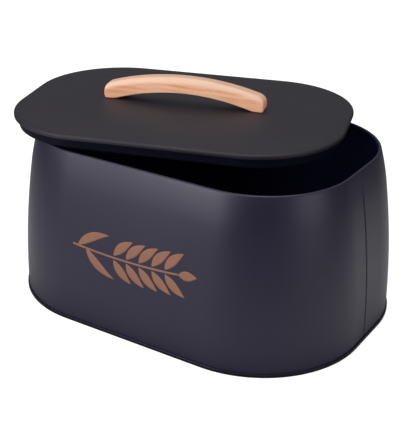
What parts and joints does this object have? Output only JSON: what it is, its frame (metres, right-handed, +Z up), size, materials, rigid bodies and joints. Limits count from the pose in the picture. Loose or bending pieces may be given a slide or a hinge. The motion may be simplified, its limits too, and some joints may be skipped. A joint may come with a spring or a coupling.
{
  "type": "bread box",
  "caption": "Steel bread box with rounded ends and a bowed wall, and a loose flat lid with a short skirt and an arched beech handle, lying askew on the rim.",
  "frame": {"origin": "centre of the bin's footprint, on the surface that the ring under its bottom seam stands on", "axes": "+X along the bin to the end with the upright seam, -Y out of the printed front, +Z up"},
  "size_m": [0.3522, 0.2575, 0.1911],
  "materials": {
    "coated_steel": "satin dark navy powder coat",
    "beech": "smooth light beech, satin lacquer",
    "zinc_steel": "bright zinc"
  },
  "bodies": {
    "bin": {"body_wall": "coated_steel", "base_pan": "coated_steel"},
    "lid": {"lid_top": "coated_steel", "lid_skirt_ring": "coated_steel", "handle": "beech", "handle_screw_left": "zinc_steel", "handle_screw_right": "zinc_steel", "handle_washer_left": "zinc_steel", "handle_washer_right": "zinc_steel"}
  },
  "joints": [
    {"name": "lid_lift", "type": "slide", "parent": "bin", "child": "lid", "axis": [0, 0, 1], "range_m": [0, 0.16]}
  ]
}
